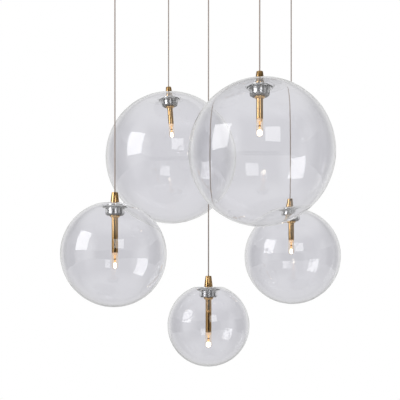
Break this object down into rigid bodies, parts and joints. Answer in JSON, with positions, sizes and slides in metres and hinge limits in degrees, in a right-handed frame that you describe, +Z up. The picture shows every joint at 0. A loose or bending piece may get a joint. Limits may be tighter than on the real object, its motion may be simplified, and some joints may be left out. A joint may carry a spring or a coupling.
{
  "type": "cluster pendant",
  "caption": "Cluster pendant: clear blown-glass globes of different sizes hung at staggered heights on thin cords from a round ceiling canopy, each with a brass and aluminium lamp fitting.",
  "frame": {"origin": "centre of the ceiling screw pattern, on the top face of the ceiling bracket", "axes": "+Z up into the ceiling, +X to the right and +Y to the back, seen from the picture's side"},
  "size_m": [0.5515, 0.6197, 0.8734],
  "materials": {
    "brass": "satin lacquered",
    "aluminium": "turned, satin",
    "clear_glass": "clear blown",
    "lamp_glass": "clear pressed",
    "lamp_core": "glowing",
    "ceramic": "matt",
    "seal_rubber": "matt",
    "cord_sleeve": "matt",
    "canopy_paint": "satin white",
    "zinc_steel": "zinc plated",
    "driver_plastic": "matt",
    "terminal_plastic": "matt"
  },
  "bodies": {
    "canopy": {"ceiling_bracket": "zinc_steel", "canopy_cover": "canopy_paint", "cover_screws": "zinc_steel", "cord_grips": "brass", "grip_nuts": "zinc_steel", "led_driver": "driver_plastic", "terminal_block": "terminal_plastic"},
    "centre_cord": {"cord_centre": "cord_sleeve"},
    "centre_head": {"cone_centre": "brass", "stem_centre": "brass", "collar_centre": "aluminium", "seals_centre": "seal_rubber", "globe_centre": "clear_glass", "lamp_tube_centre": "brass", "socket_centre": "ceramic", "bulb_glass_centre": "lamp_glass", "bulb_core_centre": "lamp_core"},
    "left_cord": {"cord_left": "cord_sleeve"},
    "left_head": {"cone_left": "brass", "stem_left": "brass", "collar_left": "aluminium", "seals_left": "seal_rubber", "globe_left": "clear_glass", "lamp_tube_left": "brass", "socket_left": "ceramic", "bulb_glass_left": "lamp_glass", "bulb_core_left": "lamp_core"},
    "right_cord": {"cord_right": "cord_sleeve"},
    "right_head": {"cone_right": "brass", "stem_right": "brass", "collar_right": "aluminium", "seals_right": "seal_rubber", "globe_right": "clear_glass", "lamp_tube_right": "brass", "socket_right": "ceramic", "bulb_glass_right": "lamp_glass", "bulb_core_right": "lamp_core"},
    "front_cord": {"cord_front": "cord_sleeve"},
    "front_head": {"cone_front": "brass", "stem_front": "brass", "collar_front": "aluminium", "seals_front": "seal_rubber", "globe_front": "clear_glass", "lamp_tube_front": "brass", "socket_front": "ceramic", "bulb_glass_front": "lamp_glass", "bulb_core_front": "lamp_core"},
    "back_cord": {"cord_back": "cord_sleeve"},
    "back_head": {"cone_back": "brass", "stem_back": "brass", "collar_back": "aluminium", "seals_back": "seal_rubber", "globe_back": "clear_glass", "lamp_tube_back": "brass", "socket_back": "ceramic", "bulb_glass_back": "lamp_glass", "bulb_core_back": "lamp_core"}
  },
  "joints": [
    {"name": "centre_cord_swing", "type": "hinge", "parent": "canopy", "child": "centre_cord", "pos_m": [0, 0, -0.054], "axis": [1, 0, 0], "range_deg": [-3, 3]},
    {"name": "centre_globe_tilt", "type": "hinge", "parent": "centre_cord", "child": "centre_head", "pos_m": [0, 0, -0.6945], "axis": [0, 1, 0], "range_deg": [-5, 5]},
    {"name": "left_cord_swing", "type": "hinge", "parent": "canopy", "child": "left_cord", "pos_m": [-0.17451, -0.08701, -0.054], "axis": [1, 0, 0], "range_deg": [-3, 3]},
    {"name": "left_globe_tilt", "type": "hinge", "parent": "left_cord", "child": "left_head", "pos_m": [-0.17451, -0.08701, -0.5432], "axis": [0, 1, 0], "range_deg": [-5, 5]},
    {"name": "right_cord_swing", "type": "hinge", "parent": "canopy", "child": "right_cord", "pos_m": [0.17451, 0.08701, -0.054], "axis": [1, 0, 0], "range_deg": [-3, 3]},
    {"name": "right_globe_tilt", "type": "hinge", "parent": "right_cord", "child": "right_head", "pos_m": [0.17451, 0.08701, -0.5332], "axis": [0, 1, 0], "range_deg": [-5, 5]},
    {"name": "front_cord_swing", "type": "hinge", "parent": "canopy", "child": "front_cord", "pos_m": [0.08701, -0.17451, -0.054], "axis": [1, 0, 0], "range_deg": [-3, 3]},
    {"name": "front_globe_tilt", "type": "hinge", "parent": "front_cord", "child": "front_head", "pos_m": [0.08701, -0.17451, -0.3476], "axis": [0, 1, 0], "range_deg": [-5, 5]},
    {"name": "back_cord_swing", "type": "hinge", "parent": "canopy", "child": "back_cord", "pos_m": [-0.08701, 0.17451, -0.054], "axis": [1, 0, 0], "range_deg": [-3, 3]},
    {"name": "back_globe_tilt", "type": "hinge", "parent": "back_cord", "child": "back_head", "pos_m": [-0.08701, 0.17451, -0.268], "axis": [0, 1, 0], "range_deg": [-5, 5]}
  ]
}
